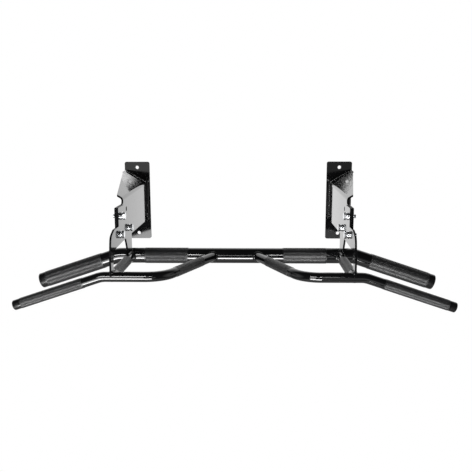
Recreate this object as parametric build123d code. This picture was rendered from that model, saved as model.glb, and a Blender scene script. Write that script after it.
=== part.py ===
from build123d import *
import math
import os

# Wall-mounted multi-grip pull-up bar, in millimetres.
# X runs along the bars, +Y points into the wall, +Z is up.
# The origin is the centre of the four wall-bolt holes, on the wall's surface.
# A "depth" is a distance out from the wall, so it lies at Y = -depth.
# Every side piece is drawn on the +X side and mirrored for the -X side.

# ---- wall plates ----
PLATE_SPACING = 650
PLATE_WIDTH = 80
PLATE_HEIGHT = 250
PLATE_CORNER_RADIUS = 6
WALL_HOLE_SPACING = 214
WALL_HOLE_DIAMETER = 11
SHEET = 5                  # thickness of every plate and bent sheet

# ---- gussets: an upright web with a flange that leans outwards above it ----
LAP_X = 295                # plane where the gusset and the arm plate touch
GUSSET_BOTTOM = -61
GUSSET_REACH = 456
GUSSET_LOW_RADIUS = 28
GUSSET_NOSE_RADIUS = 3
SHELF_Z = 35               # top edge of the gusset's nose and of the arm plate
SHELF_RADIUS = 8
FLANGE_REACH = 370
FLANGE_SLOPE = 30          # how steeply it rises outwards
BEND_RADIUS = 12
# the height where the flat web and the flat flange would meet falls towards the front
BEND_Z_AT_WALL = 59
BEND_Z_AT_FRONT = 50.5
# the outer edge runs straight out from the wall and then narrows to the front
FLANGE_WIDE_X = 363
FLANGE_WIDE_DEPTH = 40
FLANGE_NARROW_X = 311
SPARE_HOLE = (334, 17)     # depth and height of the open hole behind the arm plate
SPARE_HOLE_DIAMETER = 13

# ---- arm plates: depth, height and corner radius of each outline point ----
ARM_BACK = 298
ARM_REACH = 552.4
FOOT_Z = -118              # the feet end inside the tubes and are cut to fit them
ARM_OUTLINE = (
    (GUSSET_REACH, SHELF_Z, 3),
    (381, SHELF_Z, 10),
    (376, -2, 14),
    (330, -12, 8),
    (ARM_BACK, -24, 14),
    (ARM_BACK, FOOT_Z, 0),
    (351, FOOT_Z, 0),
    (357, -84, 20),
    (375, -57, 3),
    (503, -61, 14),
    (528, -82, 25),
    (529, FOOT_Z, 0),
    (ARM_REACH, FOOT_Z, 0),
    (ARM_REACH, -75, 60),
    (540, -24, 22),
    (505, -12, 10),
    (GUSSET_REACH, -12, 3),
)

# ---- bars ----
BAR_Z = -121.5
MAIN_DEPTH = 290
MAIN_DIAMETER = 42.4
MAIN_WALL = 2.6
MAIN_BEND_X = 330
MAIN_END_X = 554
FRONT_DEPTH = 540
FRONT_DIAMETER = 25
FRONT_WALL = 2.5
FRONT_BEND_X = 318
FRONT_END_X = 536.5
DROOP = 18.5
DROOP_RADIUS = 60
INNER_BEND_X = 168
INNER_BEND_RADIUS = 70
INNER_MEET_X = 65          # where a front bar's axis reaches the main bar's front surface

# ---- knurled grips: where each starts and ends along its bar ----
MAIN_GRIP_WALL = 0.8
FRONT_GRIP_WALL = 0.7
MAIN_INNER_GRIP = (132, 254)     # from the middle of the main bar
MAIN_OUTER_GRIP = (46, 218)      # past the main bar's bend
FRONT_OUTER_GRIP = (47, 212)     # past the front bar's outer bend
FRONT_INNER_GRIP = (58, 190)     # past the front bar's inner bend
NEUTRAL_GRIP = (358, 508)        # depths

# ---- end plugs ----
MAIN_COLLAR = 20
FRONT_COLLAR = 16
PLUG_INSERT = 18
PLUG_PLAY = 0.1
PLUG_EDGE_RADIUS = 2.5

# ---- arm bolts (M10 x 25), thin nuts, flat washers and spring washers ----
BOLT_PLACES = ((422, 10), (331, -35), (441, -35))   # depth and height
BOLT_DIAMETER = 10
BOLT_LENGTH = 25
BOLT_HOLE_DIAMETER = 11
WASHER_DIAMETER = 20
WASHER_THICKNESS = 2
SPRING_WASHER_DIAMETER = 17.5
SPRING_WASHER_BORE = 10.4
SPRING_WASHER_THICKNESS = 2.2
SPRING_WASHER_GAP = 1.5
HEX_WIDTH = 17
HEX_CHAMFER_HEIGHT = 0.6
HEX_CHAMFER_WIDTH = 1.1
HEAD_HEIGHT = 6.4
NUT_HEIGHT = 5
SHANK_CHAMFER = 0.8

# ---- places worked out from the above ----
MAIN_RADIUS = MAIN_DIAMETER / 2
FRONT_RADIUS = FRONT_DIAMETER / 2
ARM_FACE_X = LAP_X - SHEET
GUSSET_FACE_X = LAP_X + SHEET
NEUTRAL_X = LAP_X - SHEET / 2
WASHER_X = ARM_FACE_X - WASHER_THICKNESS
UNDER_HEAD_X = WASHER_X - SPRING_WASHER_THICKNESS
DROOP_DIRECTION = Vector(math.cos(math.radians(DROOP)), 0, -math.sin(math.radians(DROOP)))
MAIN_DROP_LENGTH = (MAIN_END_X - MAIN_BEND_X) / DROOP_DIRECTION.X
FRONT_DROP_LENGTH = (FRONT_END_X - FRONT_BEND_X) / DROOP_DIRECTION.X


def at(x, depth, z):
    """A point given by its distance from the wall."""
    return Vector(x, -depth, z)


MAIN_BEND = at(MAIN_BEND_X, MAIN_DEPTH, BAR_Z)
FRONT_BEND = at(FRONT_BEND_X, FRONT_DEPTH, BAR_Z)
INNER_BEND = at(INNER_BEND_X, FRONT_DEPTH, BAR_Z)
INNER_MEET = at(INNER_MEET_X, MAIN_DEPTH + MAIN_RADIUS, BAR_Z)
INNER_DIRECTION = (INNER_MEET - INNER_BEND).normalized()
NEUTRAL_START = at(NEUTRAL_X, MAIN_DEPTH, BAR_Z)
OUTWARDS = Vector(1, 0, 0)
TO_FRONT = Vector(0, -1, 0)


# ---- shapes used more than once ----
def side_plane(x):
    """A plane that faces -X. Its own x is the depth and its own y is the height."""
    return Plane(origin=(x, 0, 0), x_dir=(0, -1, 0), z_dir=(-1, 0, 0))


def rod(start, direction, length, radius):
    return extrude(Plane(origin=start, z_dir=direction) * Circle(radius), length)


def ring(start, direction, length, outer, inner):
    section = Circle(outer) - Circle(inner)
    return extrude(Plane(origin=start, z_dir=direction) * section, length)


def bent_tube(points, radii, radius, wall):
    """A hollow tube along straight runs that are joined by tangent bends."""
    path = FilletPolyline(*points, radius=radii)
    section = Circle(radius) - Circle(radius - wall)
    return sweep(Plane(origin=path @ 0, z_dir=path % 0) * section, path=path)


def sheet_from(corners, x):
    """A plate SHEET thick whose face furthest from the middle lies at x."""
    points = [(depth, z) for depth, z, _ in corners]
    radii = [radius for _, _, radius in corners]
    outline = FilletPolyline(*points, radius=radii, close=True)
    return extrude(side_plane(x) * make_face(outline), SHEET)


def drill(body, places, diameter):
    """Holes along X through the sheets of a bracket."""
    for depth, z in places:
        body -= through_sheets(depth, z, diameter / 2)
    return body


def through_sheets(depth, z, radius):
    """A rod along X that is longer than both sheets of a bracket are thick."""
    return rod(at(ARM_FACE_X - SHEET, depth, z), OUTWARDS, 4 * SHEET, radius)


def hexagon(x, height):
    """A hexagonal block along +X with its corners turned off, as on a bolt head."""
    plane = Plane(origin=(x, 0, 0), z_dir=(1, 0, 0))
    corner_radius = HEX_WIDTH / math.sqrt(3)
    blank = extrude(plane * Circle(corner_radius), height)
    rims = blank.edges().filter_by(GeomType.CIRCLE)
    blank = chamfer(rims, HEX_CHAMFER_HEIGHT, HEX_CHAMFER_WIDTH)
    return blank & extrude(plane * RegularPolygon(corner_radius, 6), height)


# ---- bracket ----
def wall_plate():
    blank = RectangleRounded(PLATE_WIDTH, PLATE_HEIGHT, PLATE_CORNER_RADIUS)
    for z in (-WALL_HOLE_SPACING / 2, WALL_HOLE_SPACING / 2):
        blank -= Pos(0, z) * Circle(WALL_HOLE_DIAMETER / 2)
    face = Plane(origin=(PLATE_SPACING / 2, 0, 0), x_dir=(1, 0, 0), z_dir=(0, -1, 0))
    return extrude(face * blank, SHEET)


def gusset():
    turn = 90 - FLANGE_SLOPE
    below_line = BEND_RADIUS * math.tan(math.radians(turn / 2))
    web_top = BEND_Z_AT_WALL - below_line
    web_corners = (
        (SHEET, GUSSET_BOTTOM, 0),
        (GUSSET_REACH, GUSSET_BOTTOM, GUSSET_LOW_RADIUS),
        (GUSSET_REACH, SHELF_Z, GUSSET_NOSE_RADIUS),
        (FLANGE_REACH, SHELF_Z, SHELF_RADIUS),
        (FLANGE_REACH, BEND_Z_AT_FRONT - below_line, 0),
        (SHEET, web_top, 0),
    )
    web = sheet_from(web_corners, GUSSET_FACE_X)
    web = drill(web, BOLT_PLACES, BOLT_HOLE_DIAMETER)
    web = drill(web, [SPARE_HOLE], SPARE_HOLE_DIAMETER)

    # section of the bend and the flange at the wall, seen from the front: x is X and y is Z
    centre = (LAP_X + BEND_RADIUS, web_top)
    face_arc = CenterArc(centre, BEND_RADIUS, 180, -turn)
    back_arc = CenterArc(centre, BEND_RADIUS - SHEET, 180 - turn, turn)
    slope = Vector(math.cos(math.radians(FLANGE_SLOPE)), math.sin(math.radians(FLANGE_SLOPE)))
    tip = face_arc @ 1 + slope * ((FLANGE_WIDE_X - (face_arc @ 1).X) / slope.X)
    back_tip = tip + Vector(slope.Y, -slope.X) * SHEET
    section = make_face(
        [
            face_arc,
            Line(face_arc @ 1, tip),
            Line(tip, back_tip),
            Line(back_tip, back_arc @ 0),
            back_arc,
            Line(back_arc @ 1, face_arc @ 0),
        ]
    )
    front_view = Plane(origin=(0, -SHEET, 0), x_dir=(1, 0, 0), z_dir=(0, -1, 0))
    along_bend = Vector(0, SHEET - FLANGE_REACH, BEND_Z_AT_FRONT - BEND_Z_AT_WALL)
    flange = extrude(front_view * section, along_bend.length, dir=along_bend)

    beyond_x = FLANGE_WIDE_X + PLATE_WIDTH
    beyond_depth = FLANGE_REACH + PLATE_WIDTH
    narrowing = Polyline(
        (FLANGE_WIDE_X, -FLANGE_WIDE_DEPTH),
        (FLANGE_NARROW_X, -FLANGE_REACH),
        (FLANGE_NARROW_X, -beyond_depth),
        (beyond_x, -beyond_depth),
        (beyond_x, -FLANGE_WIDE_DEPTH),
        close=True,
    )
    flange -= extrude(make_face(narrowing), PLATE_HEIGHT, both=True)
    return web + flange


def arm_plate():
    plate = sheet_from(ARM_OUTLINE, LAP_X)
    plate = drill(plate, BOLT_PLACES, BOLT_HOLE_DIAMETER)
    plate -= through_sheets(MAIN_DEPTH, BAR_Z, MAIN_RADIUS)
    plate -= through_sheets(FRONT_DEPTH, BAR_Z, FRONT_RADIUS)
    plate -= rod(NEUTRAL_START, TO_FRONT, FRONT_DEPTH - MAIN_DEPTH, FRONT_RADIUS)
    return plate


# ---- bars ----
def main_bar():
    end = MAIN_BEND + DROOP_DIRECTION * (MAIN_DROP_LENGTH - MAIN_COLLAR)
    right = [MAIN_BEND, end]
    left = [Vector(-p.X, p.Y, p.Z) for p in reversed(right)]
    return bent_tube(left + right, [DROOP_RADIUS] * 2, MAIN_RADIUS, MAIN_WALL)


def front_bar():
    """From its end past both bends, and cut to fit the main bar's front surface."""
    end = FRONT_BEND + DROOP_DIRECTION * (FRONT_DROP_LENGTH - FRONT_COLLAR)
    inside_main = INNER_MEET + INNER_DIRECTION * MAIN_RADIUS / abs(INNER_DIRECTION.Y)
    points = [end, FRONT_BEND, INNER_BEND, inside_main]
    tube = bent_tube(points, [DROOP_RADIUS, INNER_BEND_RADIUS], FRONT_RADIUS, FRONT_WALL)
    return tube - rod(at(0, MAIN_DEPTH, BAR_Z), OUTWARDS, MAIN_BEND_X, MAIN_RADIUS)


def neutral_grip_tube():
    """A short tube square to the wall, cut to fit the bars at both of its ends."""
    tube = ring(
        NEUTRAL_START, TO_FRONT, FRONT_DEPTH - MAIN_DEPTH, FRONT_RADIUS, FRONT_RADIUS - FRONT_WALL
    )
    tube -= rod(at(0, MAIN_DEPTH, BAR_Z), OUTWARDS, MAIN_BEND_X, MAIN_RADIUS)
    return tube - rod(at(0, FRONT_DEPTH, BAR_Z), OUTWARDS, MAIN_BEND_X, FRONT_RADIUS)


def grip(start, direction, span, radius, wall):
    return ring(start + direction * span[0], direction, span[1] - span[0], radius + wall, radius)


def end_plug(bend, drop_length, collar, radius, wall):
    """A cap as wide as its tube, with a stub that fits inside it."""
    bore = radius - wall - PLUG_PLAY
    mouth = bend + DROOP_DIRECTION * (drop_length - collar)
    cap = rod(mouth, DROOP_DIRECTION, collar, radius)
    rim = cap.edges().filter_by(GeomType.CIRCLE).sort_by(Axis(mouth, DROOP_DIRECTION))[-1]
    cap = fillet(rim, PLUG_EDGE_RADIUS)
    return cap + rod(mouth - DROOP_DIRECTION * PLUG_INSERT, DROOP_DIRECTION, PLUG_INSERT, bore)


# ---- fasteners: three of each on a side, all along X ----
def at_bolts(solid):
    return Compound([Pos(0, -depth, z) * solid for depth, z in BOLT_PLACES])


def arm_bolt():
    shank = rod(Vector(UNDER_HEAD_X, 0, 0), OUTWARDS, BOLT_LENGTH, BOLT_DIAMETER / 2)
    shank = chamfer(shank.faces().sort_by(Axis.X)[-1].edges(), SHANK_CHAMFER)
    return hexagon(UNDER_HEAD_X - HEAD_HEIGHT, HEAD_HEIGHT) + shank


def arm_nut():
    bore = rod(Vector(GUSSET_FACE_X, 0, 0), OUTWARDS, NUT_HEIGHT, BOLT_DIAMETER / 2)
    return hexagon(GUSSET_FACE_X, NUT_HEIGHT) - bore


def arm_washer():
    outer, inner = WASHER_DIAMETER / 2, BOLT_HOLE_DIAMETER / 2
    return ring(Vector(WASHER_X, 0, 0), OUTWARDS, WASHER_THICKNESS, outer, inner)


def spring_washer():
    """A ring under the bolt's head, split at its top."""
    outer, inner = SPRING_WASHER_DIAMETER / 2, SPRING_WASHER_BORE / 2
    washer = ring(Vector(UNDER_HEAD_X, 0, 0), OUTWARDS, SPRING_WASHER_THICKNESS, outer, inner)
    gap = Box(3 * SPRING_WASHER_THICKNESS, SPRING_WASHER_GAP, outer)
    return washer - Pos(UNDER_HEAD_X, 0, (outer + inner) / 2) * gap


# ---- the assembly ----
def side_pieces():
    """Every piece of the +X side, by name."""
    main = (MAIN_RADIUS, MAIN_GRIP_WALL)
    front = (FRONT_RADIUS, FRONT_GRIP_WALL)
    middle = at(0, MAIN_DEPTH, BAR_Z)
    neutral_origin = at(NEUTRAL_X, 0, BAR_Z)
    return {
        "wall_plate": wall_plate(),
        "gusset": gusset(),
        "arm_plate": arm_plate(),
        "front_bar": front_bar(),
        "neutral_grip_tube": neutral_grip_tube(),
        "main_inner_grip": grip(middle, OUTWARDS, MAIN_INNER_GRIP, *main),
        "main_outer_grip": grip(MAIN_BEND, DROOP_DIRECTION, MAIN_OUTER_GRIP, *main),
        "front_outer_grip": grip(FRONT_BEND, DROOP_DIRECTION, FRONT_OUTER_GRIP, *front),
        "front_inner_grip": grip(INNER_BEND, INNER_DIRECTION, FRONT_INNER_GRIP, *front),
        "neutral_grip": grip(neutral_origin, TO_FRONT, NEUTRAL_GRIP, *front),
        "main_end_plug": end_plug(MAIN_BEND, MAIN_DROP_LENGTH, MAIN_COLLAR, MAIN_RADIUS, MAIN_WALL),
        "front_end_plug": end_plug(
            FRONT_BEND, FRONT_DROP_LENGTH, FRONT_COLLAR, FRONT_RADIUS, FRONT_WALL
        ),
        "arm_bolts": at_bolts(arm_bolt()),
        "arm_washers": at_bolts(arm_washer()),
        "arm_spring_washers": at_bolts(spring_washer()),
        "arm_nuts": at_bolts(arm_nut()),
    }


os.makedirs("parts", exist_ok=True)
export_step(main_bar(), "parts/main_bar.step")
for piece_name, piece in side_pieces().items():
    export_step(piece, f"parts/right_{piece_name}.step")
    export_step(piece.mirror(Plane.YZ), f"parts/left_{piece_name}.step")
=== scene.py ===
# Looks of a wall-mounted multi-grip pull-up bar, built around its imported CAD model.
# Metres. X runs along the bars, +Y points into the wall and +Z is up.
import math
from collections import namedtuple

import bmesh
import bpy
import numpy as np
from mathutils import Matrix, Vector


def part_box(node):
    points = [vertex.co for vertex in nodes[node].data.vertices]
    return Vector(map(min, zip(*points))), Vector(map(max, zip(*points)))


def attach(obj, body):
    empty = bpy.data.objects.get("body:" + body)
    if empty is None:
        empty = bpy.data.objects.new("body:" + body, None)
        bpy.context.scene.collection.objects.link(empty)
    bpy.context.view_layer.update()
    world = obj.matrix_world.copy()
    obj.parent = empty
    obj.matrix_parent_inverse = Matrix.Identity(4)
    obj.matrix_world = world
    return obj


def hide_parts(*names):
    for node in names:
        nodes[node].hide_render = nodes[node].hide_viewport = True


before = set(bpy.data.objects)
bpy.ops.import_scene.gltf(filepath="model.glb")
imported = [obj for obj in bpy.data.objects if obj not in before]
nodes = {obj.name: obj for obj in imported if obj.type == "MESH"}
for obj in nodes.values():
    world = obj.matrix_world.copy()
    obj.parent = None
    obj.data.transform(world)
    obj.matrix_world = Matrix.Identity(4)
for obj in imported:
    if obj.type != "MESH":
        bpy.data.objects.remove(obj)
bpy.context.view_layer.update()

SIDES = {"left": -1, "right": 1}
UP = Vector((0, 0, 1))
ALONG = Vector((1, 0, 0))
INTO_WALL = Vector((0, 1, 0))
MM = 0.001

# ---- camera ----
CAMERA_PLACE = Vector((0.0477, -1.9555, 0.2355))
CAMERA_YAW = 0.0277            # radians, to the left
CAMERA_PITCH = -0.1788         # radians, downwards
CAMERA_ROLL = 0.0027
CAMERA_LENS = 46.14            # millimetres, for a 36 mm sensor

# ---- floor ----
FLOOR_HALF_WIDTH = 2.2
FLOOR_MIDDLE_Y = -0.3
FLOOR_HEIGHT = -2.2
FLOOR_SQUARES = 8              # each way

# ---- light ----
LIGHT_MIDDLE = Vector((0, -0.42, -0.12))      # the lights are aimed at the middle of the bars
LIGHT_DISTANCE = 2.6

# ---- grips ----
GRIPS = ("main_inner", "main_outer", "front_outer", "front_inner", "neutral")
FIRST_KNURL_SEED = 20

# ---- knurl ----
KNURL_PITCH = 2.8 * MM         # from one diamond's point to the next, along and across
KNURL_DEPTH = 0.34 * MM
KNURL_UNEVENNESS = 0.08 * MM   # how much lower than the others a diamond's point may be
COLLAR = 2.6 * MM              # smooth band at each end of a grip
COLLAR_BEVEL = 0.5 * MM
COLLAR_DROP = 0.12 * MM        # how far the band lies below the diamonds' points

# ---- sheet metal ----
EDGE_ROUNDING = 0.5 * MM       # of the cut edges
EDGE_STEPS = 3
FLAT_ANGLE = math.radians(0.5)       # faces that turn less than this become one
SHEET_CREASE = math.radians(50)      # edges sharper than a crease angle stay hard
EDGE_ANGLE = 0.6               # radians; edges that turn more than this are rounded
BEND_RADIUS = 12 * MM          # of the gusset's bend, on its upper face
BEND_STEPS = 12
FLANGE_SLOPE = math.radians(30)
REAR_FOOT_FRONT = -351 * MM    # the front end of the arm plate's rear foot
FRONT_FOOT_BACK = -529 * MM    # the back end of its front foot

# ---- welds ----
WALL_BEAD = 6 * MM             # on the gussets' inner and upper faces
OUTER_WALL_BEAD = 5 * MM       # on their outer and lower faces
WALL_BEAD_INSET = 3 * MM       # from the gusset's edges to the ends of these beads
FOOT_BEAD = 3.6 * MM
MAIN_BAR_BEAD = 3.2 * MM
FRONT_BAR_BEAD = 3.0 * MM
FOOT_BEAD_TWIST = 2 * MM       # where the bead passes from the main bar to the neutral tube
FOOT_BEAD_END = 4 * MM         # from the front foot's front end to the bead's end
BEAD_ARC_STEPS = 10            # across a bead
BEAD_STEPS = 10                # along a bead, in each ripple
BEAD_BLUNTNESS = 0.2 * MM       # keeps a bead's ends from thinning to nothing
BEAD_FLATNESS = 1.25           # 1 gives a round bead, 2 a flat one
BEAD_BURIED = 0.12             # how far a bead reaches into its corner, as a share of its size
BEAD_CREASE = math.radians(60)
RIPPLE_PITCH = 1.05            # from one ripple to the next, as a share of the bead's size
RIPPLE_SHARE = 0.13            # ripple height, as a share of the bead's size
RIPPLE_BOW = 0.9               # how far the ripples bow along the bead, in ripples
RIPPLE_SHAPE = 0.6             # below 1, a ripple rises fast and then levels off
DRIFT_SHARE = 0.07             # how much thicker or thinner a stretch may be, as a share of size
DRIFT_LENGTH = 2.3             # of such a stretch, in ripples
DRIFT_COUNT = 64               # stretches before they repeat

# ---- end plugs ----
PLUG_SEGMENTS = 96
PLUG_CREASE = math.radians(35)
PLUG_RIM = 2.5 * MM            # radius of the rounded rim
PLUG_RIM_STEPS = 8
PLUG_BREAK = 0.3 * MM          # the bevel where the collar meets the tube
STUB_BEVEL = 1 * MM
RING_SHARE = 0.72              # outer radius of the ring in the face, as a share of the plug's
RING_DEPTH = 0.5 * MM
RING_WIDTH = 0.8 * MM
RING_BEVEL = 0.5 * MM
FACE_DROP = 0.1 * MM           # how far the face inside the ring lies below the rim

# ---- fasteners (M10) ----
HEX_SEGMENTS = 72
HEX_CREASE = math.radians(28)
WASHER_CREASE = math.radians(40)
HEX_APOTHEM = 8.5 * MM
TURNED_SHARE = 0.95            # radius of a turned hexagon's flat face, as a share of the apothem
TURNED_SLOPE = math.radians(30)
HEAD_HEIGHT = 6.4 * MM
DISH_DEPTH = 0.35 * MM         # of the shallow dish in a bolt's head
DISH_FLOOR = 0.55              # its floor's and its rim's radius, as shares of the apothem
DISH_RIM = 0.66
SEAT_HEIGHT = 0.5 * MM         # of the round seat under the head
SEAT_SHARE = 0.93              # its radius, as a share of the apothem
BOLT_RADIUS = 5 * MM
THREAD_LENGTH = 9 * MM
THREAD_PITCH = 1.5 * MM
THREAD_DEPTH = 0.85 * MM
THREAD_STEP = 0.15 * MM
THREAD_STEEPNESS = 1.35        # of the thread's flanks
THREAD_CREST = 0.15            # how far its wave is lowered; crests and roots are cut flat
TIP_LENGTH = 1.1 * MM          # of the cone at the bolt's end
TIP_SLOPE = 0.9
NUT_BORE = 4.4 * MM
NUT_BEVEL = 1.1 * MM
FLAT_WASHER_HOLE = 5.25 * MM
FLAT_WASHER_ROUNDING = 0.45 * MM
SPRING_WASHER_HOLE = 5.2 * MM
SPRING_WIRE = 1.9 * MM
SPRING_ROUNDING = 0.3 * MM
SPRING_ROUNDING_STEPS = 2
SPRING_STEPS = 80
SPRING_GAP = math.radians(12)


# =============================== mesh helpers ===============================
def place(name, mesh, material, replaced=()):
    """Puts a mesh in the scene as a piece of the object."""
    mesh.materials.clear()
    mesh.materials.append(material)
    piece = bpy.data.objects.new(name, mesh)
    bpy.context.scene.collection.objects.link(piece)
    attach(piece, "root")
    if replaced:
        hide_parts(*replaced)
    return piece


def mesh_from(name, vertices, faces):
    mesh = bpy.data.meshes.new(name)
    mesh.from_pydata(vertices, [], faces)
    mesh.update()
    return mesh


def square_to(direction):
    """Two unit vectors square to a direction and to each other."""
    helper = UP if abs(direction.dot(UP)) < 0.9 else ALONG
    first = direction.cross(helper).normalized()
    return first, direction.cross(first).normalized()


def skin(rings, closed=False):
    """Faces between rings of vertex numbers. A ring of one number is a pole."""
    faces = []
    pairs = list(zip(rings, rings[1:]))
    if closed:
        pairs.append((rings[-1], rings[0]))
    for low, high in pairs:
        count = max(len(low), len(high))
        for k in range(count):
            corners = [low[k % len(low)], low[(k + 1) % len(low)]]
            corners += [high[(k + 1) % len(high)], high[k % len(high)]]
            faces.append(tuple(dict.fromkeys(corners)))
    return faces


class Builder:
    """Collects rings of vertices round an axis and skins them into one mesh."""

    def __init__(self):
        self.vertices = []
        self.faces = []

    def turned(self, start, direction, levels, segments, closed=False):
        """levels holds pairs of distance along the axis and radius, each a number or a
        function of the angle."""
        across, up = square_to(direction)
        rings = []
        for along, radius in levels:
            if radius == 0:
                rings.append([len(self.vertices)])
                self.vertices.append(start + direction * along)
                continue
            ring = []
            for k in range(segments):
                angle = math.tau * k / segments
                far = radius(angle) if callable(radius) else radius
                step = along(angle) if callable(along) else along
                spoke = across * math.cos(angle) + up * math.sin(angle)
                ring.append(len(self.vertices))
                self.vertices.append(start + direction * step + spoke * far)
            rings.append(ring)
        self.faces += skin(rings, closed)

    def mesh(self, name, smooth_angle):
        mesh = mesh_from(name, self.vertices, self.faces)
        work = bmesh.new()
        work.from_mesh(mesh)
        bmesh.ops.recalc_face_normals(work, faces=work.faces)
        work.to_mesh(mesh)
        work.free()
        mesh.shade_smooth()
        mesh.set_sharp_from_angle(angle=smooth_angle)
        return mesh


def rounded_profile(corners, radius, steps=4):
    """A closed 2-D outline with each corner replaced by a small arc-like curve."""
    points = []
    count = len(corners)
    for k, corner in enumerate(corners):
        here = Vector(corner)
        before = (Vector(corners[k - 1]) - here).normalized() * radius
        after = (Vector(corners[(k + 1) % count]) - here).normalized() * radius
        for step in range(steps + 1):
            t = step / steps
            points.append(tuple(here + before * (1 - t) ** 2 + after * t**2))
    return points


# =============================== reading the frame ===============================
Tube = namedtuple("Tube", "start direction length outer inner")
Box = namedtuple("Box", "low high middle")


def node_points(node):
    points = np.array([v.co for v in nodes[node].data.vertices], float)
    return np.unique(points.round(7), axis=0)


def straight_tube(node):
    """A straight CAD sleeve's axis, length and radii, read from its mesh."""
    points = node_points(node)
    spread = points - points.mean(axis=0)
    axis = np.linalg.svd(spread, full_matrices=False)[2][0]
    if axis[np.argmax(np.abs(axis))] < 0:
        axis = -axis
    along = spread @ axis
    start = points[along < 0].mean(axis=0)
    end = points[along > 0].mean(axis=0)
    direction = Vector(end - start).normalized()
    offsets = points - start
    reach = offsets @ np.array(direction)
    radii = np.linalg.norm(offsets - np.outer(reach, direction), axis=1)
    length, outer, inner = float(reach.max()), float(radii.max()), float(radii.min())
    return Tube(Vector(start), direction, length, outer, inner)


def solids_of(node):
    """The box of each separate solid in a CAD node."""
    work = bmesh.new()
    work.from_mesh(nodes[node].data)
    bmesh.ops.remove_doubles(work, verts=work.verts, dist=1e-6)
    left_over = set(work.verts)
    boxes = []
    while left_over:
        group = {left_over.pop()}
        front = list(group)
        while front:
            for edge in front.pop().link_edges:
                for vertex in edge.verts:
                    if vertex in left_over:
                        left_over.remove(vertex)
                        group.add(vertex)
                        front.append(vertex)
        low = Vector([min(v.co[i] for v in group) for i in range(3)])
        high = Vector([max(v.co[i] for v in group) for i in range(3)])
        boxes.append(Box(low, high, (low + high) / 2))
    work.free()
    return sorted(boxes, key=lambda box: tuple(box.middle))


MAIN = straight_tube("right_main_inner_grip")
NEUTRAL = straight_tube("right_neutral_grip")
MAIN_RADIUS = MAIN.inner
FRONT_RADIUS = NEUTRAL.inner
MAIN_AXIS = Vector((0, MAIN.start.y, MAIN.start.z))
FRONT_AXIS = Vector((0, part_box("right_front_bar")[0].y + FRONT_RADIUS, MAIN.start.z))
PLATE_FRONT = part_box("right_wall_plate")[0].y
SHEET = -PLATE_FRONT


# =============================== materials ===============================
def shader_graph(name):
    material = bpy.data.materials.new(name)
    material.use_nodes = True
    tree = material.node_tree
    return material, tree, tree.nodes["Principled BSDF"]


def noise(tree, scale, detail=3.0, roughness=0.5, stretch=None):
    """A noise texture in the object's own metres, finer along an axis where stretch says so."""
    place_node = tree.nodes.new("ShaderNodeTexCoord")
    texture = tree.nodes.new("ShaderNodeTexNoise")
    texture.inputs["Scale"].default_value = scale
    texture.inputs["Detail"].default_value = detail
    texture.inputs["Roughness"].default_value = roughness
    source = place_node.outputs["Object"]
    if stretch:
        mapping = tree.nodes.new("ShaderNodeMapping")
        mapping.inputs["Scale"].default_value = stretch
        tree.links.new(source, mapping.inputs["Vector"])
        source = mapping.outputs["Vector"]
    tree.links.new(source, texture.inputs["Vector"])
    return texture.outputs["Fac"]


def ranged(tree, value, low, high, start=0.0, end=1.0):
    """value, which runs from start to end, brought to run from low to high."""
    node = tree.nodes.new("ShaderNodeMapRange")
    node.inputs["From Min"].default_value = start
    node.inputs["From Max"].default_value = end
    node.inputs["To Min"].default_value = low
    node.inputs["To Max"].default_value = high
    tree.links.new(value, node.inputs["Value"])
    return node.outputs["Result"]


def two_colours(tree, value, first, second, start=0.35, end=0.65):
    ramp = tree.nodes.new("ShaderNodeValToRGB")
    ramp.color_ramp.elements[0].position = start
    ramp.color_ramp.elements[0].color = (*first, 1)
    ramp.color_ramp.elements[1].position = end
    ramp.color_ramp.elements[1].color = (*second, 1)
    tree.links.new(value, ramp.inputs["Fac"])
    return ramp.outputs["Color"]


def bump(tree, height, distance, under=None):
    node = tree.nodes.new("ShaderNodeBump")
    node.inputs["Strength"].default_value = 1.0
    node.inputs["Distance"].default_value = distance
    tree.links.new(height, node.inputs["Height"])
    if under is not None:
        tree.links.new(under, node.inputs["Normal"])
    return node.outputs["Normal"]


def black_enamel(name="black_enamel", gloss=(0.05, 0.11), peel=0.005 * MM):
    """Stoved gloss black with a faint orange peel and duller smears. gloss is the range of its
    roughness, and peel the height of the orange peel."""
    material, tree, shader = shader_graph(name)
    patches = noise(tree, 14, detail=4)
    colour = two_colours(tree, patches, (0.0014, 0.0014, 0.0016), (0.0026, 0.0026, 0.0029))
    tree.links.new(colour, shader.inputs["Base Color"])
    smears = noise(tree, 45, detail=6, roughness=0.65)
    tree.links.new(ranged(tree, smears, *gloss, start=0.3, end=0.75), shader.inputs["Roughness"])
    orange_peel = bump(tree, noise(tree, 260, detail=2), peel)
    grit = bump(tree, noise(tree, 2600, detail=2), peel / 8, under=orange_peel)
    tree.links.new(grit, shader.inputs["Normal"])
    shader.inputs["IOR"].default_value = 1.5
    return material


def cut_enamel():
    """The enamel on a cut edge, thin and rough over the marks of the cut."""
    material, tree, shader = shader_graph("cut_enamel")
    patches = noise(tree, 40, detail=4)
    colour = two_colours(tree, patches, (0.0014, 0.0014, 0.0016), (0.003, 0.003, 0.0033))
    tree.links.new(colour, shader.inputs["Base Color"])
    dullness = ranged(tree, patches, 0.30, 0.42, start=0.3, end=0.7)
    tree.links.new(dullness, shader.inputs["Roughness"])
    tree.links.new(bump(tree, noise(tree, 900, detail=3), 0.02 * MM), shader.inputs["Normal"])
    shader.inputs["IOR"].default_value = 1.07
    return material


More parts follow.
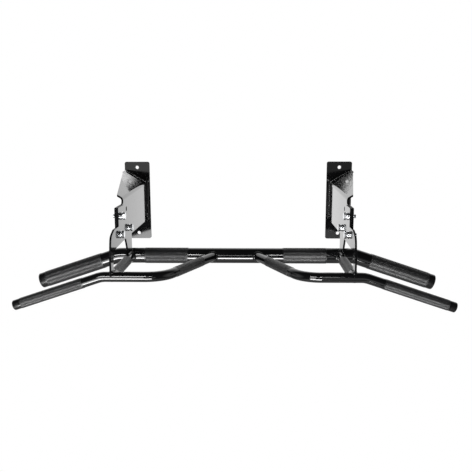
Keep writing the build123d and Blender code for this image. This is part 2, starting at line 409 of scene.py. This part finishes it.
def knurled_enamel():
    """The black on the knurl: thin, and worn dull."""
    material, tree, shader = shader_graph("knurled_enamel")
    patches = noise(tree, 60, detail=5, roughness=0.6)
    colour = two_colours(tree, patches, (0.003, 0.003, 0.0033), (0.006, 0.006, 0.0066))
    tree.links.new(colour, shader.inputs["Base Color"])
    wear = noise(tree, 300, detail=4, roughness=0.6)
    tree.links.new(ranged(tree, wear, 0.26, 0.40, start=0.3, end=0.7), shader.inputs["Roughness"])
    tree.links.new(bump(tree, noise(tree, 3200, detail=2), 0.015 * MM), shader.inputs["Normal"])
    shader.inputs["IOR"].default_value = 1.5
    return material


def bright_zinc():
    """Zinc plating: bright, slightly clouded, with the turning marks of the blank under it."""
    material, tree, shader = shader_graph("bright_zinc")
    clouds = noise(tree, 260, detail=4)
    colour = two_colours(tree, clouds, (0.66, 0.68, 0.70), (0.86, 0.87, 0.88))
    tree.links.new(colour, shader.inputs["Base Color"])
    tree.links.new(ranged(tree, clouds, 0.30, 0.16, start=0.3, end=0.7), shader.inputs["Roughness"])
    marks = bump(tree, noise(tree, 900, detail=3, stretch=(6, 1, 1)), 0.012 * MM)
    tree.links.new(marks, shader.inputs["Normal"])
    shader.inputs["Metallic"].default_value = 1.0
    return material


def plug_plastic():
    """Moulded black plastic with a fine spark-eroded grain."""
    material, tree, shader = shader_graph("plug_plastic")
    clouds = noise(tree, 80, detail=3)
    colour = two_colours(tree, clouds, (0.0016, 0.0016, 0.0018), (0.003, 0.003, 0.0033))
    tree.links.new(colour, shader.inputs["Base Color"])
    tree.links.new(ranged(tree, clouds, 0.22, 0.32, start=0.3, end=0.7), shader.inputs["Roughness"])
    tree.links.new(bump(tree, noise(tree, 2400, detail=3), 0.003 * MM), shader.inputs["Normal"])
    shader.inputs["IOR"].default_value = 1.38
    return material


def pale_floor():
    material, tree, shader = shader_graph("pale_floor")
    clouds = noise(tree, 3, detail=2)
    colour = two_colours(tree, clouds, (0.52, 0.52, 0.515), (0.55, 0.55, 0.545))
    tree.links.new(colour, shader.inputs["Base Color"])
    shader.inputs["Roughness"].default_value = 0.8
    return material


ENAMEL = black_enamel()
SHEET_ENAMEL = black_enamel("sheet_enamel", gloss=(0.05, 0.09))
CUT_ENAMEL = cut_enamel()
WELD_ENAMEL = black_enamel("weld_enamel", gloss=(0.12, 0.3), peel=0.05 * MM)
KNURL = knurled_enamel()
ZINC = bright_zinc()
PLASTIC = plug_plastic()


# =============================== bars and sheet metal ===============================
def enamel_on(node):
    """The CAD tube is right as it is and only takes its finish."""
    for material_slot in nodes[node].material_slots:
        material_slot.material = ENAMEL


def rounded_sheet(node):
    """The CAD plate with its edges slightly rounded and a rougher enamel on its cut faces."""
    work = bmesh.new()
    work.from_mesh(nodes[node].data)
    bmesh.ops.remove_doubles(work, verts=work.verts, dist=1e-6)
    bmesh.ops.dissolve_limit(
        work, angle_limit=FLAT_ANGLE, verts=work.verts, edges=work.edges
    )
    sharp = [e for e in work.edges if len(e.link_faces) == 2 and e.calc_face_angle() > EDGE_ANGLE]
    bmesh.ops.bevel(
        work,
        geom=sharp,
        offset=EDGE_ROUNDING,
        offset_type="OFFSET",
        segments=EDGE_STEPS,
        profile=0.5,
        affect="EDGES",
        clamp_overlap=True,
    )
    mesh = bpy.data.meshes.new(node + "_rounded")
    work.to_mesh(mesh)
    work.free()
    mesh.shade_smooth()
    mesh.set_sharp_from_angle(angle=SHEET_CREASE)
    piece = place(node + "_rounded", mesh, SHEET_ENAMEL, [node])
    mesh.materials.append(CUT_ENAMEL)
    flat_way = INTO_WALL if node.endswith("wall_plate") else ALONG
    for polygon in mesh.polygons:
        if abs(polygon.normal.dot(flat_way)) < 0.1:
            polygon.material_index = 1
    flatten = piece.modifiers.new("flat_faces", "WEIGHTED_NORMAL")
    flatten.keep_sharp = True
    flatten.weight = 100
    return piece


# =============================== knurled grips ===============================
def knurled_sleeve(node, seed):
    """A sleeve with diamond pyramids between two smooth collars."""
    tube = straight_tube(node)
    columns = 2 * round(math.tau * tube.outer / KNURL_PITCH)
    rows = round((tube.length - 2 * COLLAR) / (KNURL_PITCH / 2))
    valley = tube.outer - KNURL_DEPTH
    band = tube.outer - COLLAR_DROP

    collar = [(0, tube.inner), (0, band - COLLAR_BEVEL), (COLLAR_BEVEL, band)]
    collar += [(COLLAR - COLLAR_BEVEL, band)]
    far_collar = [(tube.length - along, radius) for along, radius in reversed(collar)]
    knurled = np.linspace(COLLAR, tube.length - COLLAR, rows + 1)
    along = np.concatenate([[a for a, _ in collar], knurled, [a for a, _ in far_collar]])
    radius = np.empty((len(along), columns))
    first = len(collar)
    last = first + rows
    radius[:first] = np.array([r for _, r in collar])[:, None]
    radius[last + 1 :] = np.array([r for _, r in far_collar])[:, None]
    row, column = np.indices((rows + 1, columns))
    pointed = ((row + column) % 2 == 0) & (row > 0) & (row < rows)
    uneven = np.random.default_rng(seed).uniform(0, KNURL_UNEVENNESS, pointed.shape)
    radius[first : last + 1] = np.where(pointed, tube.outer - uneven, valley)

    across, up = (np.array(v) for v in square_to(tube.direction))
    angle = math.tau * np.arange(columns) / columns
    spokes = np.outer(np.cos(angle), across) + np.outer(np.sin(angle), up)
    axis_points = np.array(tube.start) + np.outer(along, np.array(tube.direction))
    vertices = axis_points[:, None, :] + radius[:, :, None] * spokes[None]

    number = np.arange(len(along) * columns).reshape(len(along), columns)
    beside = np.roll(number, -1, axis=1)
    faces = []
    plain = [*range(first), *range(last, len(along) - 1)]
    for k in plain:
        quads = np.stack([number[k], number[k + 1], beside[k + 1], beside[k]], axis=1)
        faces += quads.tolist()
    closing = np.stack([number[-1], number[0], beside[0], beside[-1]], axis=1)
    faces += closing.tolist()

    grid = number[first : last + 1]
    tops = (row + column) % 2 == 0
    for down in (1, -1):
        for sideways in (1, -1):
            next_row = np.roll(grid, -down, axis=0)
            next_column = np.roll(grid, -sideways, axis=1)
            inside = (row < rows) if down == 1 else (row > 0)
            chosen = tops & inside
            corners = [grid[chosen], next_row[chosen], next_column[chosen]]
            if down * sideways < 0:
                corners.reverse()
            faces += np.stack(corners, axis=1).tolist()

    name = node.replace("grip", "knurled_sleeve")
    mesh = mesh_from(name, vertices.reshape(-1, 3).tolist(), faces)
    return place(name, mesh, KNURL, [node])


# =============================== end plugs ===============================
def end_plug(side, bar):
    """A cap with a rounded rim, a shallow ring in its face and a stub inside the tube."""
    node = f"{side}_{bar}_end_plug"
    axis = straight_tube(f"{side}_{bar}_outer_grip")
    outwards = axis.direction * (1 if axis.direction.x * SIDES[side] > 0 else -1)
    points = node_points(node) - np.array(axis.start)
    along = points @ np.array(outwards)
    radii = np.linalg.norm(points - np.outer(along, outwards), axis=1)
    radius = float(radii.max())
    stub_start = float(along.min())
    face = float(along.max())
    collar_start = float(along[radii > 0.98 * radius].min())
    stub = float(np.median(radii[along < collar_start - MM]))
    profile = [
        (stub_start, 0),
        (stub_start, stub - STUB_BEVEL),
        (stub_start + STUB_BEVEL, stub),
        (collar_start, stub),
        (collar_start, radius - PLUG_BREAK),
        (collar_start + PLUG_BREAK, radius),
    ]
    for step in range(PLUG_RIM_STEPS + 1):
        turn = math.pi / 2 * step / PLUG_RIM_STEPS
        level = face - PLUG_RIM + PLUG_RIM * math.sin(turn)
        profile.append((level, radius - PLUG_RIM + PLUG_RIM * math.cos(turn)))
    ring = RING_SHARE * radius
    ring_floor = ring - RING_WIDTH
    profile += [
        (face, ring + RING_BEVEL),
        (face - RING_DEPTH, ring),
        (face - RING_DEPTH, ring_floor),
        (face - FACE_DROP, ring_floor - RING_BEVEL),
        (face - FACE_DROP, 0),
    ]
    builder = Builder()
    builder.turned(axis.start, outwards, profile, PLUG_SEGMENTS)
    name = f"{side}_{bar}_end_cap"
    return place(name, builder.mesh(name, PLUG_CREASE), PLASTIC, [node])


# =============================== fasteners ===============================
def hexagon(angle):
    """The distance from a hexagon's middle to its side, at an angle."""
    return HEX_APOTHEM / math.cos((angle + math.pi / 6) % (math.pi / 3) - math.pi / 6)


def turned_corner(face, side):
    """The level where a cone cuts the hexagon's sides. side is 1 above the face, -1 below it."""
    slope = math.tan(TURNED_SLOPE)
    return lambda angle: face + side * (hexagon(angle) - TURNED_SHARE * HEX_APOTHEM) * slope


def thread_level(along, length):
    """A bolt's radius at each angle: a right-hand thread, cut by a cone at the bolt's end."""
    cone = BOLT_RADIUS - max(0.0, along - (length - TIP_LENGTH)) * TIP_SLOPE

    def radius(angle):
        phase = (along / THREAD_PITCH - angle / math.tau) % 1
        wave = min(1.0, max(0.0, abs(2 * phase - 1) * THREAD_STEEPNESS - THREAD_CREST))
        return min(BOLT_RADIUS - THREAD_DEPTH * (1 - wave), cone)

    return along, radius


def inner_end(box, outwards):
    """The middle of a fastener's end that is towards the middle of the object, and its length."""
    length = box.high.x - box.low.x
    return box.middle - outwards * (length / 2), length


def bolts(side):
    """Hexagon bolts whose heads are towards the middle of the object."""
    node = f"{side}_arm_bolts"
    outwards = ALONG * SIDES[side]
    builder = Builder()
    for box in solids_of(node):
        start, length = inner_end(box, outwards)
        levels = [
            (DISH_DEPTH, 0),
            (DISH_DEPTH, DISH_FLOOR * HEX_APOTHEM),
            (0, DISH_RIM * HEX_APOTHEM),
            (0, TURNED_SHARE * HEX_APOTHEM),
            (turned_corner(0, 1), hexagon),
            (HEAD_HEIGHT - SEAT_HEIGHT, hexagon),
            (HEAD_HEIGHT - SEAT_HEIGHT, SEAT_SHARE * HEX_APOTHEM),
            (HEAD_HEIGHT, SEAT_SHARE * HEX_APOTHEM),
            (HEAD_HEIGHT, BOLT_RADIUS),
            (length - THREAD_LENGTH, BOLT_RADIUS),
        ]
        for k in range(1, round(THREAD_LENGTH / THREAD_STEP) + 1):
            levels.append(thread_level(length - THREAD_LENGTH + k * THREAD_STEP, length))
        levels.append((length, 0))
        builder.turned(start, outwards, levels, HEX_SEGMENTS)
    name = f"{side}_hexagon_bolts"
    return place(name, builder.mesh(name, HEX_CREASE), ZINC, [node])


def nuts(side):
    node = f"{side}_arm_nuts"
    outwards = ALONG * SIDES[side]
    builder = Builder()
    for box in solids_of(node):
        start, length = inner_end(box, outwards)
        levels = [
            (0, NUT_BORE + NUT_BEVEL),
            (0, TURNED_SHARE * HEX_APOTHEM),
            (turned_corner(0, 1), hexagon),
            (turned_corner(length, -1), hexagon),
            (length, TURNED_SHARE * HEX_APOTHEM),
            (length, NUT_BORE + NUT_BEVEL),
            (length - NUT_BEVEL, NUT_BORE),
            (NUT_BEVEL, NUT_BORE),
        ]
        builder.turned(start, outwards, levels, HEX_SEGMENTS, closed=True)
    name = f"{side}_hexagon_nuts"
    return place(name, builder.mesh(name, HEX_CREASE), ZINC, [node])


def flat_washers(side):
    node = f"{side}_arm_washers"
    builder = Builder()
    for box in solids_of(node):
        outer = (box.high.y - box.low.y) / 2
        start, length = inner_end(box, ALONG)
        hole = FLAT_WASHER_HOLE
        corners = [(0, hole), (0, outer), (length, outer), (length, hole)]
        section = rounded_profile(corners, FLAT_WASHER_ROUNDING)
        builder.turned(start, ALONG, section, HEX_SEGMENTS, closed=True)
    name = f"{side}_flat_washers"
    return place(name, builder.mesh(name, WASHER_CREASE), ZINC, [node])


def spring_washers(side):
    """Split rings: one turn of square wire whose ends step past each other a little."""
    node = f"{side}_arm_spring_washers"
    builder = Builder()
    for box in solids_of(node):
        outer = (box.high.y - box.low.y) / 2
        hole = SPRING_WASHER_HOLE
        rise = (box.high.x - box.low.x) - SPRING_WIRE
        corners = [(0, hole), (0, outer), (SPRING_WIRE, outer), (SPRING_WIRE, hole)]
        section = rounded_profile(corners, SPRING_ROUNDING, SPRING_ROUNDING_STEPS)
        rings = []
        for k in range(SPRING_STEPS + 1):
            share = k / SPRING_STEPS
            turn = math.pi / 2 + SPRING_GAP / 2 + (math.tau - SPRING_GAP) * share
            ring = []
            for along, radius in section:
                ring.append(len(builder.vertices))
                x = box.low.x + rise * share + along
                y = box.middle.y + radius * math.cos(turn)
                z = box.middle.z + radius * math.sin(turn)
                builder.vertices.append(Vector((x, y, z)))
            rings.append(ring)
        builder.faces += skin(rings)
        builder.faces += [tuple(rings[0]), tuple(reversed(rings[-1]))]
    name = f"{side}_spring_washers_split"
    return place(name, builder.mesh(name, WASHER_CREASE), ZINC, [node])


# =============================== welds ===============================
# A weld lies in the corner between two surfaces. first and second are the directions, each
# in one of the surfaces, that lead away from the corner.
Corner = namedtuple("Corner", "point first second")


def even_steps(corners, step):
    """The corners of a path, respaced to even steps along it."""
    lengths = [0.0]
    for before, after in zip(corners, corners[1:]):
        lengths.append(lengths[-1] + (after.point - before.point).length)
    count = max(2, round(lengths[-1] / step))
    made = []
    k = 0
    for n in range(count + 1):
        at = lengths[-1] * n / count
        while k < len(lengths) - 2 and lengths[k + 1] < at:
            k += 1
        t = (at - lengths[k]) / max(1e-9, lengths[k + 1] - lengths[k])
        a, b = corners[k], corners[k + 1]
        made.append(
            Corner(
                a.point.lerp(b.point, t),
                a.first.lerp(b.first, t).normalized(),
                a.second.lerp(b.second, t).normalized(),
            )
        )
    return made, lengths[-1]


def bead(builder, corners, size, closed=False, seed=0):
    """A rippled fillet weld along a path of corners."""
    pitch = RIPPLE_PITCH * size
    path, length = even_steps(corners, pitch / BEAD_STEPS)
    if closed:
        path = path[:-1]
    wander = np.random.default_rng(seed).uniform(-1, 1, DRIFT_COUNT)
    rings = []
    for n, corner in enumerate(path):
        along = length * n / max(1, len(path) - (0 if closed else 1))
        end_distance = length if closed else min(along, length - along)
        taper = math.sqrt(min(1.0, (end_distance + BEAD_BLUNTNESS) / size))
        drift = 1 + DRIFT_SHARE * wander[int(along / (DRIFT_LENGTH * pitch)) % DRIFT_COUNT]
        ring = []
        for m in range(BEAD_ARC_STEPS + 1):
            turn = math.pi / 2 * m / BEAD_ARC_STEPS
            middle = math.sin(2 * turn)
            phase = (along / pitch + RIPPLE_BOW * middle) % 1
            ripple = 1 + RIPPLE_SHARE * (phase**RIPPLE_SHAPE - 0.5) * middle
            far = size * taper * drift * ripple
            lean = corner.first * math.cos(turn) ** BEAD_FLATNESS
            lean = lean + corner.second * math.sin(turn) ** BEAD_FLATNESS
            ring.append(len(builder.vertices))
            builder.vertices.append(corner.point + lean * far)
        buried = (corner.first + corner.second) * (-BEAD_BURIED * size)
        ring.append(len(builder.vertices))
        builder.vertices.append(corner.point + buried)
        rings.append(ring)
    builder.faces += skin(rings, closed)
    if not closed:
        builder.faces += [tuple(rings[0]), tuple(reversed(rings[-1]))]


def saddle(point, direction, tube_radius, bar_axis, bar_radius, steps=96):
    """Corners round a tube that runs from a point, in a direction, to a bar along X."""
    across, up = square_to(direction)
    corners = []
    for k in range(steps + 1):
        turn = math.tau * k / steps
        spoke = across * math.cos(turn) + up * math.sin(turn)
        start = point + spoke * tube_radius
        off = start - bar_axis
        # the first root of a * reach**2 + 2 * b * reach + c = 0 is where the line meets the bar
        a = direction.y**2 + direction.z**2
        b = off.y * direction.y + off.z * direction.z
        c = off.y**2 + off.z**2 - bar_radius**2
        reach = (-b - math.sqrt(max(0.0, b * b - a * c))) / a
        hit = start + direction * reach
        normal = Vector((0, hit.y - bar_axis.y, hit.z - bar_axis.z)).normalized()
        away = (spoke - normal * spoke.dot(normal)).normalized()
        corners.append(Corner(hit, -direction, away))
    return corners


def gusset_path(side, inset, outer_face):
    """Corners along the wall plate beside the gusset's section, from the web's foot to the
    flange's tip, on its inner and upper face or on its outer and lower face."""
    sign = SIDES[side]
    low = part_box("right_gusset")[0]
    section = node_points("right_gusset")
    section = section[section[:, 1] > PLATE_FRONT - 0.01 * MM]
    # the flange's upper face ends at the section's highest point
    tip_x, _, tip_z = section[section[:, 2].argmax()]
    shift = SHEET if outer_face else 0
    radius = BEND_RADIUS - shift
    turn_end = math.pi / 2 + FLANGE_SLOPE
    centre_x = low.x + BEND_RADIUS
    run = (tip_x - centre_x - BEND_RADIUS * math.cos(turn_end)) / math.cos(FLANGE_SLOPE)
    centre_z = tip_z - run * math.sin(FLANGE_SLOPE) - BEND_RADIUS * math.sin(turn_end)
    centre = Vector((centre_x, 0, centre_z))
    outwards = -1 if outer_face else 1
    points = [(Vector((low.x + shift, 0, low.z + inset)), -ALONG * outwards)]
    for k in range(BEND_STEPS + 1):
        turn = math.pi + (turn_end - math.pi) * k / BEND_STEPS
        spoke = Vector((math.cos(turn), 0, math.sin(turn)))
        points.append((centre + spoke * radius, spoke * outwards))
    last, normal = points[-1]
    along_flange = Vector((math.cos(FLANGE_SLOPE), 0, math.sin(FLANGE_SLOPE)))
    points.append((last + along_flange * (run - inset), normal))
    corners = []
    for point, normal in points:
        mirrored = Vector((point.x * sign, PLATE_FRONT, point.z))
        away = Vector((normal.x * sign, 0, normal.z))
        corners.append(Corner(mirrored, away, -INTO_WALL))
    return corners


def over_tube(axis, radius, x, away, first_turn, last_turn, steps):
    """Corners over a tube along X, between two turns measured from upright to the front."""
    corners = []
    for k in range(steps + 1):
        turn = first_turn + (last_turn - first_turn) * k / steps
        spoke = Vector((0, -math.sin(turn), math.cos(turn)))
        corners.append(Corner(axis + spoke * radius + ALONG * x, spoke, away))
    return corners


def foot_paths(side):
    """Corners on both faces of the arm plate where its feet stand on the tubes."""
    sign = SIDES[side]
    low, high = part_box("right_arm_plate")
    # the arm plate stands on the middle of the neutral-grip tube, which slopes away beside it
    neutral_rise = math.sqrt(FRONT_RADIUS**2 - (SHEET / 2) ** 2)
    neutral_top = NEUTRAL.start.z + neutral_rise
    slope_out = neutral_rise / FRONT_RADIUS
    slope_down = SHEET / 2 / FRONT_RADIUS
    back_turn = math.asin((MAIN_AXIS.y - high.y) / MAIN_RADIUS)
    meet_turn = math.acos((neutral_top - MAIN_AXIS.z) / MAIN_RADIUS)
    first_turn = math.asin((FRONT_AXIS.y - FRONT_FOOT_BACK) / FRONT_RADIUS)
    last_turn = math.asin((FRONT_AXIS.y - low.y - FOOT_BEAD_END) / FRONT_RADIUS)
    paths = []
    for x, outwards in ((low.x * sign, -sign), (high.x * sign, sign)):
        away = Vector((outwards, 0, 0))
        rear = over_tube(MAIN_AXIS, MAIN_RADIUS, x, away, back_turn, meet_turn, 8)
        tangent = Vector((outwards * slope_out, 0, -slope_down))
        rear.append(Corner(rear[-1].point + -INTO_WALL * FOOT_BEAD_TWIST, UP, tangent))
        rear.append(Corner(Vector((x, REAR_FOOT_FRONT, neutral_top)), UP, tangent))
        paths.append(rear)
        paths.append(over_tube(FRONT_AXIS, FRONT_RADIUS, x, away, first_turn, last_turn, 12))
    return paths


def welds(side):
    sign = SIDES[side]
    jobs = {"wall": Builder(), "feet": Builder(), "tubes": Builder()}
    bead(jobs["wall"], gusset_path(side, WALL_BEAD_INSET, False), WALL_BEAD, seed=1)
    bead(jobs["wall"], gusset_path(side, WALL_BEAD_INSET, True), OUTER_WALL_BEAD, seed=2)
    for k, path in enumerate(foot_paths(side)):
        bead(jobs["feet"], path, FOOT_BEAD, seed=3 + k)
    inner = straight_tube(f"{side}_front_inner_grip")
    inwards = inner.direction * (-1 if inner.direction.x * sign > 0 else 1)
    around = saddle(inner.start, inwards, FRONT_RADIUS, MAIN_AXIS, MAIN_RADIUS)
    bead(jobs["tubes"], around, MAIN_BAR_BEAD, closed=True, seed=8)
    neutral = straight_tube(f"{side}_neutral_grip")
    around = saddle(neutral.start, INTO_WALL, FRONT_RADIUS, MAIN_AXIS, MAIN_RADIUS)
    bead(jobs["tubes"], around, MAIN_BAR_BEAD, closed=True, seed=9)
    around = saddle(neutral.start, -INTO_WALL, FRONT_RADIUS, FRONT_AXIS, FRONT_RADIUS)
    bead(jobs["tubes"], around, FRONT_BAR_BEAD, closed=True, seed=10)
    for job, builder in jobs.items():
        name = f"{side}_{job}_weld"
        place(name, builder.mesh(name, BEAD_CREASE), WELD_ENAMEL)


# =============================== floor, light and camera ===============================
def floor():
    steps = FLOOR_SQUARES
    vertices, faces = [], []
    for i in range(steps + 1):
        for j in range(steps + 1):
            x = FLOOR_HALF_WIDTH * (2 * i / steps - 1)
            y = FLOOR_HALF_WIDTH * (2 * j / steps - 1) + FLOOR_MIDDLE_Y
            vertices.append((x, y, FLOOR_HEIGHT))
    for i in range(steps):
        for j in range(steps):
            k = i * (steps + 1) + j
            faces.append((k, k + steps + 1, k + steps + 2, k + 1))
    mesh = mesh_from("floor", vertices, faces)
    mesh.materials.append(pale_floor())
    piece = bpy.data.objects.new("floor", mesh)
    bpy.context.scene.collection.objects.link(piece)


def soft_box(name, left, right, low, high, radiance):
    """A rectangular light in front. left and right are metres along X, low and high are
    degrees of elevation seen from the bars."""
    middle_turn = math.radians((low + high) / 2)
    away = Vector((0, -math.cos(middle_turn), math.sin(middle_turn)))
    tall = 2 * LIGHT_DISTANCE * math.tan(math.radians(high - low) / 2)
    wide = right - left
    light = bpy.data.lights.new(name, "AREA")
    light.shape = "RECTANGLE"
    light.size = wide
    light.size_y = tall
    light.energy = radiance * wide * tall * math.pi
    lamp = bpy.data.objects.new(name, light)
    lamp.location = LIGHT_MIDDLE + away * LIGHT_DISTANCE + ALONG * (left + right) / 2
    lamp.rotation_euler = away.to_track_quat("Z", "Y").to_euler()
    lamp.visible_camera = False
    bpy.context.scene.collection.objects.link(lamp)


def studio():
    """White behind the object, light beside it, dim in front of it, and white wherever the
    camera looks past it."""
    world = bpy.data.worlds.new("studio")
    bpy.context.scene.world = world
    world.use_nodes = True
    tree = world.node_tree
    tree.nodes.clear()
    place_node = tree.nodes.new("ShaderNodeTexCoord")
    split = tree.nodes.new("ShaderNodeSeparateXYZ")
    tree.links.new(place_node.outputs["Generated"], split.inputs["Vector"])
    behind = ranged(tree, split.outputs["Y"], 0.0, 1.6, start=0.35, end=0.85)
    level = ranged(tree, split.outputs["Z"], 0.2, 1.0, start=-0.5, end=-0.15)
    below = ranged(tree, split.outputs["Z"], 0.4, 0.06, start=-1.0, end=-0.5)
    total = tree.nodes.new("ShaderNodeMath")
    total.operation = "MULTIPLY_ADD"
    tree.links.new(behind, total.inputs[0])
    tree.links.new(level, total.inputs[1])
    tree.links.new(below, total.inputs[2])
    across = tree.nodes.new("ShaderNodeMath")
    across.operation = "ABSOLUTE"
    tree.links.new(split.outputs["X"], across.inputs[0])
    beside = ranged(tree, across.outputs["Value"], 0.0, 0.9, start=0.8, end=0.97)
    all_round = tree.nodes.new("ShaderNodeMath")
    all_round.operation = "ADD"
    tree.links.new(total.outputs["Value"], all_round.inputs[0])
    tree.links.new(beside, all_round.inputs[1])
    surroundings = tree.nodes.new("ShaderNodeBackground")
    tree.links.new(all_round.outputs["Value"], surroundings.inputs["Strength"])
    white = tree.nodes.new("ShaderNodeBackground")
    white.inputs["Color"].default_value = (1, 1, 1, 1)
    ray = tree.nodes.new("ShaderNodeLightPath")
    choose = tree.nodes.new("ShaderNodeMixShader")
    output = tree.nodes.new("ShaderNodeOutputWorld")
    tree.links.new(ray.outputs["Is Camera Ray"], choose.inputs["Fac"])
    tree.links.new(surroundings.outputs["Background"], choose.inputs[1])
    tree.links.new(white.outputs["Background"], choose.inputs[2])
    tree.links.new(choose.outputs["Shader"], output.inputs["Surface"])


def camera():
    data = bpy.data.cameras.new("camera")
    data.lens = CAMERA_LENS
    data.sensor_width = 36
    item = bpy.data.objects.new("camera", data)
    turn = Matrix.Rotation(CAMERA_YAW, 4, "Z") @ Matrix.Rotation(CAMERA_PITCH, 4, "X")
    turn = turn @ Matrix.Rotation(CAMERA_ROLL, 4, "Y") @ Matrix.Rotation(math.pi / 2, 4, "X")
    item.matrix_world = Matrix.Translation(CAMERA_PLACE) @ turn
    bpy.context.scene.collection.objects.link(item)
    bpy.context.scene.camera = item


# =============================== assembly ===============================
enamel_on("main_bar")
for side in SIDES:
    enamel_on(f"{side}_front_bar")
    enamel_on(f"{side}_neutral_grip_tube")
    for sheet in ("wall_plate", "gusset", "arm_plate"):
        rounded_sheet(f"{side}_{sheet}")
    for number, grip in enumerate(GRIPS):
        knurled_sleeve(f"{side}_{grip}_grip", seed=FIRST_KNURL_SEED + number)
    for bar in ("main", "front"):
        end_plug(side, bar)
    bolts(side)
    nuts(side)
    flat_washers(side)
    spring_washers(side)
    welds(side)

bpy.context.scene.view_settings.view_transform = "Standard"
floor()
studio()
# the key light comes from below
soft_box("low_key", -1.2, 0.42, -44, -27, 30)
# lights above: long highlights on the bars and light patches on the gussets' flanges
soft_box("upper_strip_left", -1.4, -0.62, 17, 24, 30)
soft_box("upper_patch_left", -0.60, -0.32, 20.7, 25, 46)
soft_box("upper_strip_middle", -0.34, 0.22, 10, 12.5, 13)
soft_box("upper_patch_right", 0.16, 0.35, 19.7, 22.5, 52)
soft_box("upper_strip_right", 0.40, 0.62, 19, 23, 12)
# dimmer boxes to the left and right of the middle
soft_box("left_fill", -1.4, -0.45, -24, -6.5, 8)
soft_box("left_glow", -1.4, -0.45, -6.5, 5, 1.15)
soft_box("right_fill", 0.4, 1.2, -24, -7, 0.95)
soft_box("right_glow", 0.4, 1.2, -7, 5, 0.35)
camera()
